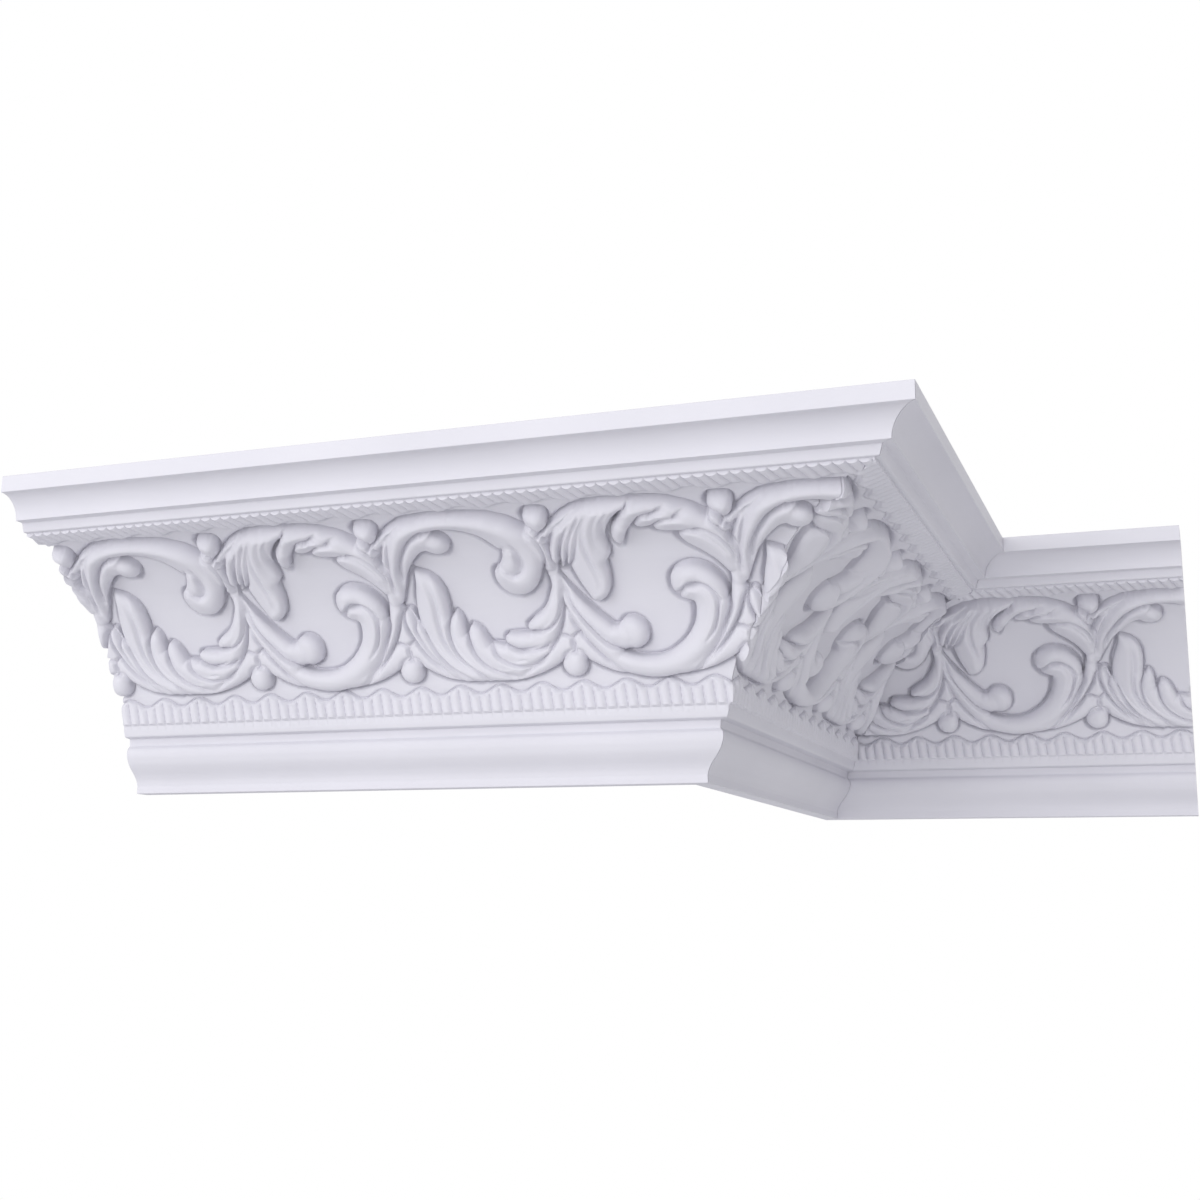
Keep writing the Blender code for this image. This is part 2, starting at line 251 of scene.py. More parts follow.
def upper_members():
    """The section from the carved face up to the ceiling and down the hidden back."""
    corners = [(133.2, 29.2, 0), (136.0, 29.2, 0.8), (137.9, 23.8, 0.7), (142.6, 23.7, 0)]
    points = rounded(corners)
    centre = Vector((PROJECTION - 0.5, -9.9 - 13.7))
    for step in range(13):
        angle = math.radians(180 - 90 * step / 12)
        points.append(centre + Vector((math.cos(angle), math.sin(angle))) * 13.7)
    corners = [
        (PROJECTION, 9.8, 0.5),
        (PROJECTION, 0, 0.6),
        (BACK_CEILING_INNER, 0, 0),
        (0, BACK_WALL_TOP, 0),
    ]
    points += rounded([(PROJECTION - 0.6, 9.9, 0)] + corners)[1:]
    return points


def flow(waypoints, spacing=0.7):
    """A smooth way through a few places, each of them (u, v, half-width)."""
    places = [np.array(place, float) for place in waypoints]
    places = [places[0] * 2 - places[1]] + places + [places[-1] * 2 - places[-2]]
    way = []
    for before, start, end, after in zip(places, places[1:], places[2:], places[3:]):
        steps = max(2, math.ceil(np.hypot(*(end - start)[:2]) / spacing))
        t = (np.arange(steps) / steps)[:, None]
        linear = (end - before) * t
        square = (before * 2 - start * 5 + end * 4 - after) * t ** 2
        cube = (start * 3 - before - end * 3 + after) * t ** 3
        way.append((start * 2 + linear + square + cube) / 2)
    return np.vstack(way + [places[-2][None, :]])


class Relief:
    """Heights over one pattern of two loops, which repeats along the run."""

    def __init__(self):
        rows = math.ceil((FACE_FOOT - FACE_TOP) / ROW_STEP)
        self.step = PATTERN / COLUMNS
        self.u = np.arange(COLUMNS) * self.step
        self.v = np.linspace(FACE_TOP, FACE_FOOT, rows + 1)
        self.height = np.zeros((rows + 1, COLUMNS))
        self.grooves = np.zeros(self.height.shape)
        self.drift_u = np.zeros(self.height.shape)
        self.drift_v = np.zeros(self.height.shape)
        self.offset = 0.0

    def window(self, u, v, reach):
        """Rows and wrapped columns within reach of a place."""
        row_step = self.v[1] - self.v[0]
        low = max(0, int((v - reach - self.v[0]) / row_step))
        high = min(len(self.v), int((v + reach - self.v[0]) / row_step) + 2)
        first = math.floor((u - reach) / self.step)
        last = math.ceil((u + reach) / self.step)
        columns = np.arange(first, last + 1)
        return slice(low, high), columns

    def trace(self, waypoints, reach):
        """For each place near a way: how far it is outside the form, and where across and along."""
        way = flow(waypoints)
        gap = np.full(self.height.shape, 99.0)
        share = np.full(self.height.shape, 9.0)
        along = np.zeros(self.height.shape)
        width = np.ones(self.height.shape)
        for number, (u, v, half_width) in enumerate(way):
            half_width = max(half_width, 0.3)
            rows, columns = self.window(u + self.offset, v, half_width + reach)
            if rows.start >= rows.stop:
                continue
            across = columns * self.step - u - self.offset
            distance = np.hypot(across[None, :], (self.v[rows] - v)[:, None])
            block = np.ix_(np.arange(rows.start, rows.stop), columns % COLUMNS)
            closer = distance - half_width < gap[block]
            gap[block] = np.where(closer, distance - half_width, gap[block])
            share[block] = np.where(closer, distance / half_width, share[block])
            along[block] = np.where(closer, number / (len(way) - 1), along[block])
            width[block] = np.where(closer, half_width, width[block])
        return gap, share, along, width

    def cover(self, form, gap, depth):
        """Lays a form over the others, with a fine groove about it where it lies on them."""
        covered = np.clip((form - self.height + 0.2) / 0.4, 0, 1) * (gap < 0)
        beside = np.exp(-((gap / CREASE) ** 2)) * np.clip(self.height / WALL_HEIGHT, 0, 1)
        self.grooves = np.maximum(self.grooves * (1 - covered), beside * depth)
        self.height = np.maximum(self.height, form)

    def lay(self, waypoints, crest=CREST, dent=DENT, open_ends=END_OPEN, sink=0.8):
        """Lays a stem or lobe with steep sides and a rounded top, and a groove beside it.

        An open end runs on into another form: there it sinks a little and its groove fades.
        """
        gap, share, along, width = self.trace(waypoints, 2.5)
        ends = np.ones(gap.shape)
        if open_ends[0]:
            ends = np.minimum(ends, along / OPEN_SHARE)
        if open_ends[1]:
            ends = np.minimum(ends, (1 - along) / OPEN_SHARE)
        ends = np.clip(ends, 0, 1)
        wall = np.clip(-gap / WALL_WIDTH, 0, 1)
        wall = np.sqrt(1 - (1 - wall) ** 2)
        base = min(WALL_HEIGHT, crest) * np.clip(0.6 + width / 7, 0, 1)
        top = np.clip(1 - share ** 2, 0, 1)
        rise = max(crest - WALL_HEIGHT, 0) * top * np.clip(width / 4, 0, 1)
        self.cover(wall * (base + rise - sink * (1 - ends)), gap, dent * ends)

    def boss(self, u, v, half_width, half_length, crest, dent=DENT, lean=0.0, taper=0.0):
        """Raises one bead with a groove about it; it may lean along the run and narrow at the foot."""
        down_by = (self.v - v)[:, None]
        across = (self.u - u - self.offset + PATTERN / 2) % PATTERN - PATTERN / 2
        across = across[None, :] - lean * down_by
        narrow = half_width * (1 - taper * np.clip(down_by / half_length, -1, 1))
        share = np.hypot(across / narrow, down_by / half_length)
        dome = crest * np.clip(1 - share ** 2.6, 0, 1) ** 0.5
        self.cover(dome, (share - 1) * min(half_width, half_length), dent)

    def cut(self, waypoints, depth):
        """Presses a soft groove along a way; its third number is the groove's half-width."""
        gap, share, along, width = self.trace(waypoints, 3.0)
        fade = np.clip(np.sin(math.pi * (0.04 + 0.92 * along)), 0, 1) ** 0.6
        dent = fade * np.exp(-(share ** 2)) * np.clip(self.height / WALL_HEIGHT, 0, 1)
        self.grooves = np.maximum(self.grooves, depth * dent)

    def lean(self):
        """How far each row's crests are seen to lean along and down the face, for each mm of height."""
        across = np.zeros(len(self.v))
        along = np.zeros(len(self.v))
        for row, v in enumerate(self.v):
            tilt = Face.tilt(v)
            out = Vector((0, -math.sin(tilt), -math.cos(tilt)))
            down_face = Vector((0, math.cos(tilt), -math.sin(tilt)))
            facing = SIGHT.dot(out)
            across[row] = -SIGHT.x / facing
            along[row] = -SIGHT.dot(down_face) / facing
        return across, along

    def stand_up(self):
        """Moves the forms from where the oblique view shows them to where they stand.

        Every outline was read at READ_HEIGHT along SIGHT. A spot is as high as the first height
        at which the line of sight leaves the carving.
        """
        across, along = self.lean()
        drawn = self.height
        marks = self.grooves
        row_step = self.v[1] - self.v[0]
        rows = np.arange(len(self.v))[:, None]
        columns = np.arange(COLUMNS)[None, :]
        standing = np.full(drawn.shape, -1.0)
        open_spots = np.ones(drawn.shape, bool)
        before = np.zeros(drawn.shape)

        def seen(field, height):
            """The value of a drawn field where the view shows this height."""
            shift = height - READ_HEIGHT
            row = np.clip(rows + along[:, None] * shift / row_step, 0, len(self.v) - 1.001)
            column = columns + across[:, None] * shift / self.step
            above = np.floor(row).astype(int)
            left = np.floor(column).astype(int)
            down_share = row - above
            right_share = column - left
            total = 0
            for line, share in ((above, 1 - down_share), (above + 1, down_share)):
                total = total + field[line, left % COLUMNS] * share * (1 - right_share)
                total = total + field[line, (left + 1) % COLUMNS] * share * right_share
            return total

        heights = np.arange(LOWEST, CREST + 1.5, SIGHT_STEP)
        for height in heights:
            over = seen(drawn, height) - height
            leaves = open_spots & (over < 0)
            part = np.where(before > 0, before / np.maximum(before - over, 1e-6), 0)
            standing = np.where(leaves, height - SIGHT_STEP * (1 - part), standing)
            open_spots &= ~leaves
            before = over
        self.height = np.where(open_spots, drawn, standing)
        self.grooves = seen(marks, self.height)

    def around(self, field, reach):
        """The field moved by every step within reach, each with how far that is."""
        row_step = self.v[1] - self.v[0]
        rows = len(self.v)
        high = int(reach / row_step)
        wide = int(reach / self.step)
        for down_by in range(-high, high + 1):
            padded = np.pad(field, ((high, high), (0, 0)), mode="edge")
            moved = padded[high - down_by:high - down_by + rows]
            for right_by in range(-wide, wide + 1):
                apart = math.hypot(down_by * row_step, right_by * self.step)
                if apart < reach:
                    yield apart, np.roll(moved, right_by, axis=1)

    def nearness(self, spots, reach):
        """Distance from each place to the nearest of some spots, up to a reach."""
        distance = np.full(spots.shape, float(reach))
        for apart, near in self.around(spots, reach):
            distance = np.where(near & (distance > apart), apart, distance)
        return distance

    def largest(self, field, reach):
        """The largest value of a field within reach."""
        most = field.copy()
        for apart, near in self.around(field, reach):
            most = np.maximum(most, near)
        return most

    def round_off(self):
        """Gives the forms round sides that tuck in a little at the ground, as thick leaves do."""
        near_top = np.clip(1 - self.v / TOP_MOAT_END, 0, 1)[:, None]
        ground = self.height < GROUND_BELOW
        inward = self.nearness(ground, ROUNDING)
        outward = self.nearness(~ground, FOOT_REACH)
        widest = np.clip(self.largest(np.where(ground, 0, inward), ROUNDING), 1.2, ROUNDING)
        full = self.largest(self.height, 1.5)
        top = np.where(inward < 1.6, np.maximum(self.height, full * 0.96), self.height)
        widest = widest * (1 - 0.3 * near_top)
        start = math.radians(TUCK) * (1 - near_top)
        turn = start + (math.pi / 2 - start) * np.clip(inward / widest, 0, 1)
        round_side = top * (np.sin(turn) - np.sin(start)) / (1 - np.sin(start))
        drift = widest * (1 - np.cos(turn)) - np.minimum(inward, widest)
        tucked = widest * (1 - np.cos(start)) * np.clip(1 - outward / FOOT_REACH, 0, 1) ** 3
        drift = np.where(ground, tucked, drift)
        side = self.blurred(inward - outward, 1.2)
        side = np.pad(side, ((0, 0), (1, 1)), mode="wrap")
        slope_v, slope_u = np.gradient(side, self.v, np.arange(COLUMNS + 2) * self.step)
        slope_v = slope_v[:, 1:-1]
        slope_u = slope_u[:, 1:-1]
        steep = np.maximum(np.hypot(slope_u, slope_v), 0.35)
        across, along = self.lean()
        hidden = -(slope_u * across[:, None] + slope_v * along[:, None]) / steep
        hidden = self.blurred(np.clip(hidden, 0, 1) * EDGE_HEIGHT, 1.0)
        depth = MOAT + (TOP_MOAT - MOAT) * near_top
        width = MOAT_WIDTH + (TOP_MOAT_WIDTH - MOAT_WIDTH) * near_top
        beyond = np.maximum(outward - hidden, 0)
        sunk = -depth * np.exp(-((beyond / width) ** 2))
        self.height = np.where(ground, sunk, round_side)
        self.drift_u = self.blurred(drift * slope_u / steep, 0.7)
        self.drift_v = self.blurred(drift * slope_v / steep, 0.7)

    def blurred(self, field, sigma):
        reach = max(1, math.ceil(3 * sigma / self.step))
        taps = np.exp(-0.5 * (np.arange(-reach, reach + 1) * self.step / sigma) ** 2)
        taps /= taps.sum()
        padded = np.pad(field, ((0, 0), (reach, reach)), mode="wrap")
        field = sum(weight * padded[:, index:index + COLUMNS] for index, weight in enumerate(taps))
        padded = np.pad(field, ((reach, reach), (0, 0)), mode="edge")
        rows = len(self.v)
        return sum(weight * padded[index:index + rows] for index, weight in enumerate(taps))


def crossing(relief):
    """The web between two loops, which spreads from the crossing into their lower rims."""
    way = [
        (-2.4, 30, 2.4), (-2.8, 42, 3), (-2.8, 56, 3), (-2.4, 68, 3.4), (-2, 76, 4),
    ]
    relief.lay(way, LOW_WEB, open_ends=BOTH_OPEN)
    relief.lay([(-2, 75, 2.4), (-2, 82, 4.6), (-2, 90, 8.4), (-2, 96, 11)], WEB, open_ends=BOTH_CLOSED)
    way = [
        (-3, 30, 3), (2.4, 22, 4), (8, 15, 4), (15.5, 8, 4), (24, 2.4, 3.6), (34, -3, 3),
    ]
    relief.lay(way, SHOULDER_WEB, dent=0)
    relief.lay([(-8, 97, 7), (-16, 103, 6.4), (-26, 108.5, 5.4), (-38, 112.5, 4.2), (-50, 114, 3)], WEB)
    way = [
        (5, 96.5, 7.6), (13, 102.5, 6.2), (21, 107.5, 5.4), (30, 111.5, 4.4), (42, 114, 3),
    ]
    relief.lay(way, WEB)
    relief.cut([(-2.6, 90.5, 0.8), (-1.2, 91, 1), (-0.4, 93, 0.7)], 1.2)


def finials(relief):
    """The beads above and below a crossing, which stand over the stems."""
    relief.boss(-1.6, 108, 8, 8.3, 8.8, dent=1.6)
    relief.boss(0.4, 7, 7.2, 11.8, 9, dent=4, lean=-0.2, taper=0.22)
    relief.boss(-3.2, 25.6, 4, 3.2, 9.4, dent=2)


def upper_stems(relief):
    """The two stems that cross over a loop's shoulders and frame the upper bead."""
    right = [
        (66, -4, 2.2), (75, -0.2, 3.2), (83, 4.4, 4.2), (90, 10, 5), (95.8, 16.4, 5),
        (100.2, 23, 3.8),
    ]
    relief.lay(right + [(101.8, 26.5, 2.2)], STEM, dent=3.2, open_ends=BOTH_OPEN)
    left = [
        (-2.5, 22.5, 2.2), (2.6, 17.8, 3.6), (8.8, 13, 4), (16, 7.6, 3.9), (24, 2.4, 3.4),
        (34, -3, 2.4),
    ]
    relief.lay(left, STEM, open_ends=BOTH_OPEN)


def loop_a(relief):
    """Loop A: a broad band curls over the top and acanthus rises from the foot."""
    stem = [
        (101.5, 54, 2),
        (99.8, 64, 3.2),
        (97.2, 72, 4.6),
        (93.4, 80, 6),
        (88.4, 88, 6.8),
        (82, 95.5, 6.8),
        (74, 102.5, 6.2),
        (65, 108, 5.4),
        (54, 112, 4),
    ]
    relief.lay(stem, LEAF, open_ends=BOTH_OPEN)
    way = [
        (1.2, 66, 1.8), (3, 78, 3), (7, 88, 3.6), (13, 97.5, 4), (21, 105, 4), (31, 111.5, 3.4),
        (42, 115, 2.4),
    ]
    relief.lay(way, LEAF)
    way = [
        (6.4, 68.6, 3), (7.6, 77, 3.4), (10.6, 86.5, 4), (16, 96.5, 4.4), (24.5, 105.5, 4.2),
        (36, 112.5, 3.4),
    ]
    relief.lay(way, LEAF)
    leaf = [
        (17.4, 38.8, 0.7),
        (20.4, 43, 3.6),
        (23.2, 49, 7.2),
        (23.3, 57, 9.6),
        (22, 66, 10.6),
        (21, 76, 10.3),
        (21.6, 86, 9.6),
        (25.8, 96, 9),
        (33.5, 104.5, 8),
        (45, 110.5, 6),
        (58, 113.5, 3.6),
    ]
    relief.lay(leaf, LEAF)
    vein = [
        (18.4, 43, 0.8), (20.6, 52, 1.5), (21.8, 62, 1.7), (21.5, 72, 1.7), (20.8, 82, 1.5),
        (22, 91, 1.3), (27, 101, 1.2), (36, 109, 1.1), (48, 114, 1),
    ]
    relief.cut(vein, VEIN)
    lobes = (
        [
            (35.8, 70.8, 1.2), (35, 75, 3.7), (33.4, 81, 5.9), (33.2, 88, 6.8), (35.2, 96, 6.8),
            (41.2, 104, 6), (50, 110.5, 4.8), (62, 113, 3),
        ],
        [
            (43, 80, 0.9), (44.6, 84.5, 4.4), (45.3, 91, 6.8), (47.6, 98, 7.2), (54, 104.5, 6.4),
            (63, 108, 5.2), (74, 108.5, 3.4),
        ],
        [(55, 95.6, 3.4), (59.5, 98.6, 5.8), (66.5, 102.3, 6), (76, 103, 5), (86, 99, 4)],
        [(66, 91, 4.2), (71.5, 92.6, 6), (80, 92.6, 6), (89, 89, 5)],
        [(81.2, 83.4, 3.6), (86, 81.6, 5.4), (91.6, 77.4, 5), (96.2, 70.5, 3.8), (99.6, 61, 2.4)],
    )
    for lobe in lobes:
        relief.lay(lobe, LEAF)
    way = [
        (-2.6, 56, 1.8), (-0.8, 46, 2.4), (1, 37, 3), (3.8, 29, 3.2), (8, 21, 3.4), (14, 13.5, 3),
    ]
    relief.lay(way, STEM, open_ends=BOTH_OPEN)
    way = [
        (88, 10, 6), (94, 21, 8), (97.4, 31, 7), (100.2, 40, 4.6), (102, 48, 2.2),
    ]
    relief.lay(way, STEM, open_ends=BOTH_OPEN, dent=0)
    way = [
        (4, 54, 2), (9, 40, 3), (15, 27, 4), (23, 16, 4.4), (31, 11, 3.6),
    ]
    relief.lay(way, HOOK_WEB, dent=0, open_ends=BOTH_OPEN)
    hook = [(1.6, 62, 2), (6, 51, 2.7), (11, 39.5, 3.2), (17.4, 29, 4.4), (25, 21, 5.4), (33, 17.6, 7)]
    relief.lay(hook, STEM, open_ends=START_OPEN)
    relief.boss(38.6, 18.6, 9.6, 10, CREST, dent=0)
    band = [
        (-0.6, 64, 1.6),
        (1.8, 52, 2.3),
        (3.8, 43, 2.8),
        (6.6, 34.5, 3.6),
        (10.8, 25.5, 4.6),
        (17, 16.2, 5.2),
        (25, 8.5, 6),
        (34, 3, 7),
        (44, 0.3, 8.1),
        (54, 0.4, 8.7),
        (64, 3, 9.4),
        (73.5, 8.5, 10),
        (81, 17, 10.6),
        (86.5, 27, 10.3),
        (89.8, 36.5, 9),
        (88.4, 45.2, 7.8),
        (83.8, 51.8, 8),
        (78.4, 54.6, 7.8),
        (73.8, 52.2, 6.4),
        (71, 47.5, 4.2),
        (69.8, 42.6, 1.8),
    ]
    relief.lay(band, CREST + 0.3, open_ends=START_OPEN)
    way = [
        (79.5, 26, 2), (80, 33, 3.8), (78.8, 39.5, 5.8), (77.2, 43, 6.6),
    ]
    relief.lay(way, CREST, dent=1.6, open_ends=START_OPEN)


def loop_b(relief):
    """Loop B: acanthus hangs from the top and a broad band curls up from the foot."""
    ridge = [
        (36, -4.5, 3.5),
        (48, -3.6, 5.2),
        (60, -1.6, 6.8),
        (71, 2.6, 8.2),
        (80, 9.4, 9),
        (88, 18.6, 9),
        (94.6, 29, 8),
        (99.4, 40, 5.4),
        (102, 50, 2.8),
        (103, 60, 1.6),
    ]
    relief.lay(ridge, CREST, open_ends=BOTH_OPEN)
    way = [
        (101.5, 57, 2.2), (100.7, 65, 2.8), (98.4, 75, 3.3), (93.4, 86, 3.2), (86, 97, 2.8),
        (77.4, 106, 2.4), (69, 112.6, 1.8),
    ]
    relief.lay(way, STEM, open_ends=BOTH_OPEN)
    lobes = (
        [(79.4, 27.2, 3), (84.2, 30.2, 5.4), (91, 36.4, 5.6), (96.6, 44.6, 4.2), (100.4, 54, 2.6)],
        [(67.2, 19.4, 3), (71.6, 19, 4.6), (79, 19.6, 4.8), (87.5, 23, 4)],
        [(56, 16.6, 2.2), (60, 14.4, 4.4), (66, 12.8, 4.2), (74, 13.2, 3.4)],
        [
            (42, 31, 1.2), (42.6, 26, 3.6), (45.2, 18.6, 4.5), (49.6, 12.2, 5), (56, 7, 5.2),
            (64, 4.4, 4.8), (73, 6, 4),
        ],
        [
            (31.2, 40, 1.2), (31.4, 36, 4), (31.2, 28, 5), (32.2, 19.5, 5.2), (36, 11, 5.2),
            (43, 3.6, 4.8), (52, -1.2, 4),
        ],
    )
    for lobe in lobes:
        relief.lay(lobe, LEAF)
    leaf = [
        (17.4, 69, 1),
        (20.2, 65, 4.6),
        (21.4, 59, 8),
        (21.1, 51, 10.2),
        (20.6, 43, 11),
        (19.8, 35, 10),
        (21, 26, 8.6),
        (25, 16, 7.6),
        (32, 7, 6.4),
        (42, -0.5, 4.6),
    ]
    relief.lay(leaf, LEAF)
    vein = [
        (20.6, 63, 0.9), (21.4, 56, 1.4), (20.4, 49, 1.5), (19, 40, 1.6), (18.9, 31, 1.8),
        (20.9, 21, 1.8), (26, 11.6, 1.6), (32.6, 4, 1.3), (41, -2, 1),
    ]
    relief.cut(vein, VEIN)
    way = [
        (8.8, 42, 1.6), (10.4, 34.5, 3), (13.4, 25.5, 3.6), (18, 15.5, 3.8), (24.6, 6.6, 3.7),
        (33.5, -0.8, 3),
    ]
    relief.lay(way, STEM, dent=2)
    way = [
        (4.4, 44, 1.8), (5.6, 37, 2.6), (8.4, 28, 3.2), (12.8, 18.6, 3.5), (19, 10, 3.4),
        (27, 2.5, 3),
    ]
    relief.lay(way, STEM, dent=2)
    way = [
        (-2.4, 54, 1.8), (-0.9, 45, 2.4), (1.1, 36, 2.9), (4.2, 27.5, 3.1), (8.6, 19.5, 3.2),
        (14.5, 12, 2.8),
    ]
    relief.lay(way, STEM, open_ends=BOTH_OPEN)
    band = [
        (-1, 62, 1.6),
        (0.8, 71, 2.7),
        (3.8, 79, 3.7),
        (8.6, 88, 4.5),
        (14.8, 96.5, 5.1),
        (22.8, 104, 5.7),
        (33, 109.4, 6.3),
        (45, 111.8, 6.7),
        (55.5, 110.8, 7.2),
        (64.4, 107.2, 7.9),
        (72.3, 101, 7.9),
        (78.6, 92.4, 8),
        (82.6, 83, 8.8),
        (85.2, 73, 10.4),
        (84.9, 63.6, 11),
        (79.4, 56.8, 9.9),
        (72.8, 57.8, 8),
        (68.8, 63, 4.4),
        (67.8, 67, 1.8),
    ]
    relief.lay(band, CREST + 0.3, open_ends=START_OPEN)
    way = [
        (68.2, 69, 1), (72.9, 67.5, 4.5), (77.6, 68.8, 5.6), (80.5, 74, 5.6), (80.2, 81.5, 5.2),
        (77.4, 90, 4.8), (72, 98, 4),
    ]
    relief.lay(way, CREST)
    hook = [
        (-0.6, 50, 2.2), (1.8, 58, 3.6), (5.4, 66.8, 5), (10.2, 75.8, 6.2), (16.2, 84.2, 6.8),
        (22.6, 91, 7.4), (29.4, 93, 8),
    ]
    relief.lay(hook, STEM, open_ends=START_OPEN, sink=1.4)
    relief.boss(36.8, 90.4, 9.4, 10.4, CREST, dent=0.2)


def borders(relief):
    """Scalloped borders with small upright ribs, above and below the foliage."""
    wave = WAVE * np.cos(2 * math.pi * relief.u / SCALLOP_PITCH)
    lower = (LOWER_EDGE - wave, 1, LOWER_SLANT, LOWER_RIBS, LOWER_LINE)
    upper = (UPPER_EDGE + UPPER_WAVE * wave, -1, UPPER_SLANT, UPPER_RIBS, UPPER_LINE)
    for edge, side, slant, depth, away in (lower, upper):
        inside = side * (relief.v[:, None] - edge[None, :])
        step = np.clip(inside / 0.7 + 0.5, 0, 1)
        below = relief.v[:, None] - RIB_ROOT * (side > 0)
        turn = math.pi * (relief.u[None, :] - slant * below) / RIB_PITCH
        ribs = np.abs(np.sin(turn)) ** 0.6
        rise = (1 + (depth * ribs - 0.5) * np.clip(inside / 2.5, 0, 1)) * step
        relief.height = np.where(step > 0, np.maximum(relief.height, rise), relief.height)
        line = 1 - np.clip(relief.height / WALL_HEIGHT, 0, 1)
        relief.height -= EDGE_LINE * np.exp(-(((inside + away) / EDGE_LINE_WIDTH) ** 2)) * line
    foot = np.clip((FACE_FOOT - relief.v) / 2, 0.25, 1)
    relief.height *= foot[:, None]


def carve():
    relief = Relief()
    for number in range(2):
        relief.offset = number * LOOP_PITCH
        crossing(relief)
    relief.offset = 0
    loop_a(relief)
    relief.offset = LOOP_PITCH
    loop_b(relief)
    for number in range(2):
        relief.offset = number * LOOP_PITCH
        upper_stems(relief)
        finials(relief)
    relief.stand_up()
    relief.round_off()
    depth = np.interp(relief.v, (0, FULL_GROOVES_AT), (TOP_GROOVES, GROOVES))[:, None]
    grooves = relief.blurred(relief.grooves, GROOVE_SOFTNESS)
    relief.height = relief.blurred(relief.height, SOFTNESS) - depth * grooves
    borders(relief)
    return relief


def length_mesh(name, start, end, first_loop, relief):
    """One length as a single skin: the section drawn out along the run, with the carved face."""
    step = relief.step
    first = math.floor((start - 1 - first_loop) / step)
    last = math.ceil((end + 1 - first_loop) / step)
    columns = np.arange(first, last + 1)
    lower = lower_members()
    upper = upper_members()
    count = len(lower) + len(relief.v) + len(upper)
    across = len(columns)
    points = np.zeros((count, across, 3))
    points[:, :, 0] = first_loop + columns * step
    wrapped = columns % COLUMNS
    heights = relief.height[:, wrapped]
    places = relief.v[:, None] + relief.drift_v[:, wrapped]
    bases = np.array([Face.base(v) for v in relief.v])
    outs = np.array([Face.out(v) for v in relief.v])
    parts = []
    for axis in (0, 1):
        base = np.interp(places, relief.v, bases[:, axis])
        out = np.interp(places, relief.v, outs[:, axis])
        parts.append(base + out * heights)
    face = np.stack(parts, axis=-1)
    for index, place in enumerate(lower):
        points[index, :, 1] = -place.x
        points[index, :, 2] = place.y
    turned = face[::-1]
    points[len(lower):len(lower) + len(relief.v), :, 0] += relief.drift_u[::-1, wrapped]
    points[len(lower):len(lower) + len(relief.v), :, 1] = -turned[:, :, 0]
    points[len(lower):len(lower) + len(relief.v), :, 2] = turned[:, :, 1]
    for index, place in enumerate(upper):
        points[len(lower) + len(relief.v) + index, :, 1] = -place.x
        points[len(lower) + len(relief.v) + index, :, 2] = place.y
    index = np.arange(count * across).reshape(count, across)
    following = np.roll(index, -1, axis=0)
    quads = np.stack([index[:, :-1], index[:, 1:], following[:, 1:], following[:, :-1]], axis=-1)
    mesh = bpy.data.meshes.new(name)
    mesh.from_pydata(points.reshape(-1, 3).tolist(), [], quads.reshape(-1, 4).tolist())
    return mesh


def saw_off(shape, x, angle):
    """Cuts off what lies beyond an upright plane and closes the cut."""
    normal = Vector((math.cos(math.radians(angle)), math.sin(math.radians(angle)), 0))
    cut = bmesh.ops.bisect_plane(
        shape,
        geom=shape.verts[:] + shape.edges[:] + shape.faces[:],
        plane_co=(x, 0, 0),
        plane_no=normal,
        clear_outer=True,
    )
    edges = [item for item in cut["geom_cut"] if isinstance(item, bmesh.types.BMEdge)]
    bmesh.ops.triangle_fill(shape, edges=edges, use_beauty=True, normal=normal)


def make_length(name, start, end, cuts, first_loop, into_corner, relief, finish):
    mesh = length_mesh(name, start, end, first_loop, relief)
    shape = bmesh.new()
    shape.from_mesh(mesh)
    for x, angle in cuts:
        saw_off(shape, x, angle)
    bmesh.ops.recalc_face_normals(shape, faces=shape.faces)
    shape.to_mesh(mesh)
    shape.free()
    piece = bpy.data.objects.new(name, mesh)
    bpy.context.scene.collection.objects.link(piece)
    mesh.update()
    mesh.calc_loop_triangles()
    triangles = len(mesh.loop_triangles)
    if triangles > MOST_TRIANGLES:
        lighter = piece.modifiers.new("lighter", "DECIMATE")
        lighter.ratio = MOST_TRIANGLES / triangles
        graph = bpy.context.evaluated_depsgraph_get()
        piece.data = bpy.data.meshes.new_from_object(piece.evaluated_get(graph))
        piece.modifiers.clear()
    mesh = piece.data
    origin = Vector((-FRONT_LENGTH / 2, 0, -(HEIGHT + BACK_WALL_TOP) / 2))
    mesh.transform(Matrix.Scale(MM, 4) @ Matrix.Translation(-origin) @ into_corner)
    mesh.polygons.foreach_set("use_smooth", [True] * len(mesh.polygons))
    mesh.set_sharp_from_angle(angle=math.radians(38))
    mesh.materials.clear()
    mesh.materials.append(finish)
    return piece


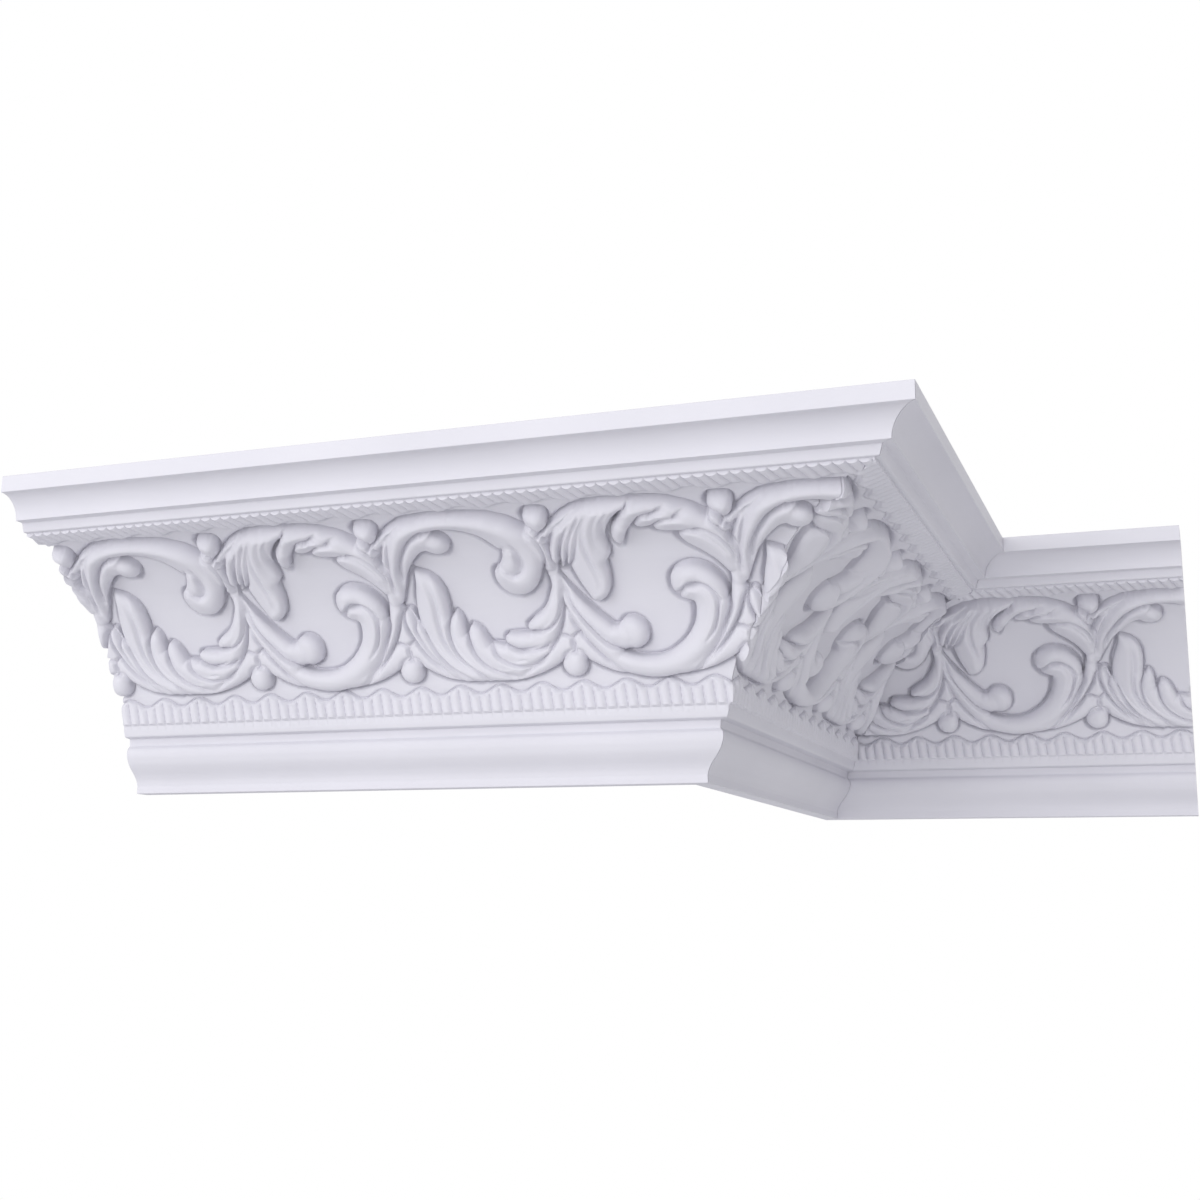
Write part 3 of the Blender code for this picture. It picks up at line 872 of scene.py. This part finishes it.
def white_finish():
    """Smooth matte white with a faint lavender cast, slightly clouded and with a very fine grain."""
    made = bpy.data.materials.new("moulding_white")
    made.use_nodes = True
    nodes = made.node_tree.nodes
    links = made.node_tree.links
    shader = nodes["Principled BSDF"]
    shader.inputs["Specular IOR Level"].default_value = 0.25
    place = nodes.new("ShaderNodeTexCoord")
    clouds = nodes.new("ShaderNodeTexNoise")
    clouds.inputs["Scale"].default_value = CLOUD_SCALE
    clouds.inputs["Detail"].default_value = 3
    links.new(place.outputs["Object"], clouds.inputs["Vector"])
    grain = nodes.new("ShaderNodeTexNoise")
    grain.inputs["Scale"].default_value = GRAIN_SCALE
    grain.inputs["Detail"].default_value = 4
    links.new(place.outputs["Object"], grain.inputs["Vector"])
    tone = nodes.new("ShaderNodeValToRGB")
    tone.color_ramp.elements[0].position = 0.3
    tone.color_ramp.elements[0].color = TONE_DIM
    tone.color_ramp.elements[1].position = 0.7
    tone.color_ramp.elements[1].color = TONE_BRIGHT
    links.new(clouds.outputs["Fac"], tone.inputs["Fac"])
    links.new(tone.outputs["Color"], shader.inputs["Base Color"])
    sheen = nodes.new("ShaderNodeMapRange")
    sheen.inputs["From Min"].default_value = 0.3
    sheen.inputs["From Max"].default_value = 0.7
    sheen.inputs["To Min"].default_value = ROUGHNESS[0]
    sheen.inputs["To Max"].default_value = ROUGHNESS[1]
    links.new(grain.outputs["Fac"], sheen.inputs["Value"])
    links.new(sheen.outputs["Result"], shader.inputs["Roughness"])
    bump = nodes.new("ShaderNodeBump")
    bump.inputs["Strength"].default_value = 0.25
    bump.inputs["Distance"].default_value = GRAIN_HEIGHT
    links.new(grain.outputs["Fac"], bump.inputs["Height"])
    links.new(bump.outputs["Normal"], shader.inputs["Normal"])
    return made


finish = white_finish()
relief = carve()
gap = MITRE_GAP / 2 * math.sqrt(2)
front = make_length(
    "front_moulding",
    -FRONT_LENGTH,
    PROJECTION,
    ((-FRONT_LENGTH, 180), (-gap, 45)),
    FRONT_START,
    Matrix.Identity(4),
    relief,
    finish,
)
side = make_length(
    "return_moulding",
    -PROJECTION,
    RETURN_LENGTH,
    ((gap, 135), (RETURN_LENGTH - gap, -45)),
    RETURN_START,
    Matrix.Rotation(math.radians(90), 4, "Z"),
    relief,
    finish,
)
rear = make_length(
    "rear_moulding",
    0,
    REAR_LENGTH,
    ((gap, -135), (REAR_LENGTH, 0)),
    REAR_START,
    Matrix.Translation((0, RETURN_LENGTH, 0)),
    relief,
    finish,
)
for piece, node in ((front, "front_length"), (side, "return_length"), (rear, "rear_length")):
    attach(piece, "root")
    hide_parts(node)


def make_floor():
    mesh = bpy.data.meshes.new("floor")
    shape = bmesh.new()
    bmesh.ops.create_grid(shape, x_segments=1, y_segments=1, size=4)
    shape.to_mesh(mesh)
    shape.free()
    floor = bpy.data.objects.new("floor", mesh)
    floor.location = (0.1, 0.1, -1.3)
    pale = bpy.data.materials.new("floor_pale")
    pale.use_nodes = True
    pale.node_tree.nodes["Principled BSDF"].inputs["Base Color"].default_value = (0.85, 0.85, 0.87, 1)
    pale.node_tree.nodes["Principled BSDF"].inputs["Roughness"].default_value = 0.9
    mesh.materials.append(pale)
    bpy.context.scene.collection.objects.link(floor)
    return floor


make_floor()


def area_light(name, place, target, size, power):
    data = bpy.data.lights.new(name, "AREA")
    data.size = size
    data.energy = power
    lamp = bpy.data.objects.new(name, data)
    lamp.location = place
    lamp.rotation_euler = (Vector(target) - Vector(place)).to_track_quat("-Z", "Y").to_euler()
    bpy.context.scene.collection.objects.link(lamp)


def studio():
    """A pale room, brightest in front and to the left, with a white backdrop behind the moulding."""
    world = bpy.data.worlds.new("studio")
    world.use_nodes = True
    nodes = world.node_tree.nodes
    links = world.node_tree.links
    way = nodes.new("ShaderNodeTexCoord")
    toward = nodes.new("ShaderNodeVectorMath")
    toward.operation = "DOT_PRODUCT"
    toward.inputs[1].default_value = Vector(ROOM_FRONT).normalized()
    links.new(way.outputs["Generated"], toward.inputs[0])
    room = nodes.new("ShaderNodeMapRange")
    room.interpolation_type = "SMOOTHSTEP"
    room.inputs["From Min"].default_value = -0.5
    room.inputs["From Max"].default_value = 1.0
    room.inputs["To Min"].default_value = ROOM_DIM
    room.inputs["To Max"].default_value = ROOM_BRIGHT
    links.new(toward.outputs["Value"], room.inputs["Value"])
    parts = nodes.new("ShaderNodeSeparateXYZ")
    links.new(way.outputs["Generated"], parts.inputs[0])
    backdrop = nodes.new("ShaderNodeMapRange")
    backdrop.inputs["From Min"].default_value = 0.35
    backdrop.inputs["From Max"].default_value = 0.45
    links.new(parts.outputs["Y"], backdrop.inputs["Value"])
    whiter = nodes.new("ShaderNodeMath")
    whiter.operation = "MAXIMUM"
    links.new(room.outputs["Result"], whiter.inputs[0])
    links.new(backdrop.outputs["Result"], whiter.inputs[1])
    links.new(whiter.outputs["Value"], nodes["Background"].inputs["Strength"])
    nodes["Background"].inputs["Color"].default_value = (1, 1, 1, 1)
    bpy.context.scene.world = world
    area_light("key", KEY_PLACE, (0.1, 0.1, 0.05), KEY_SIZE, KEY_POWER)
    bpy.context.scene.view_settings.view_transform = "Standard"


studio()

# The camera, solved from the photo: place in heights from the outer wall corner at the ceiling.
CAMERA_PLACE = (1.5732, -5.0162, -1.4342)
CAMERA_AZIMUTH = -20.914
CAMERA_ELEVATION = 11.300
CAMERA_ROLL = -0.694
FOCAL_PIXELS = 1593.73
PHOTO_PIXELS = 1200
SENSOR = 36.0


def make_camera():
    azimuth = math.radians(CAMERA_AZIMUTH)
    elevation = math.radians(CAMERA_ELEVATION)
    roll = math.radians(CAMERA_ROLL)
    level_ahead = Vector((math.sin(azimuth), math.cos(azimuth), 0))
    ahead = level_ahead * math.cos(elevation) + Vector((0, 0, math.sin(elevation)))
    level_right = Vector((math.cos(azimuth), -math.sin(azimuth), 0))
    level_down = ahead.cross(level_right)
    right = level_right * math.cos(roll) + level_down * math.sin(roll)
    downward = level_down * math.cos(roll) - level_right * math.sin(roll)
    turn = Matrix((right, -downward, -ahead)).transposed()
    data = bpy.data.cameras.new("camera")
    data.sensor_width = SENSOR
    data.lens = FOCAL_PIXELS / PHOTO_PIXELS * SENSOR
    data.clip_start = 0.01
    data.clip_end = 50
    camera = bpy.data.objects.new("camera", data)
    corner = Vector((FRONT_LENGTH / 2, 0, (HEIGHT + BACK_WALL_TOP) / 2)) * MM
    place = Vector(CAMERA_PLACE) * HEIGHT * MM + corner
    camera.matrix_world = Matrix.Translation(place) @ turn.to_4x4()
    bpy.context.scene.collection.objects.link(camera)
    bpy.context.scene.camera = camera


make_camera()
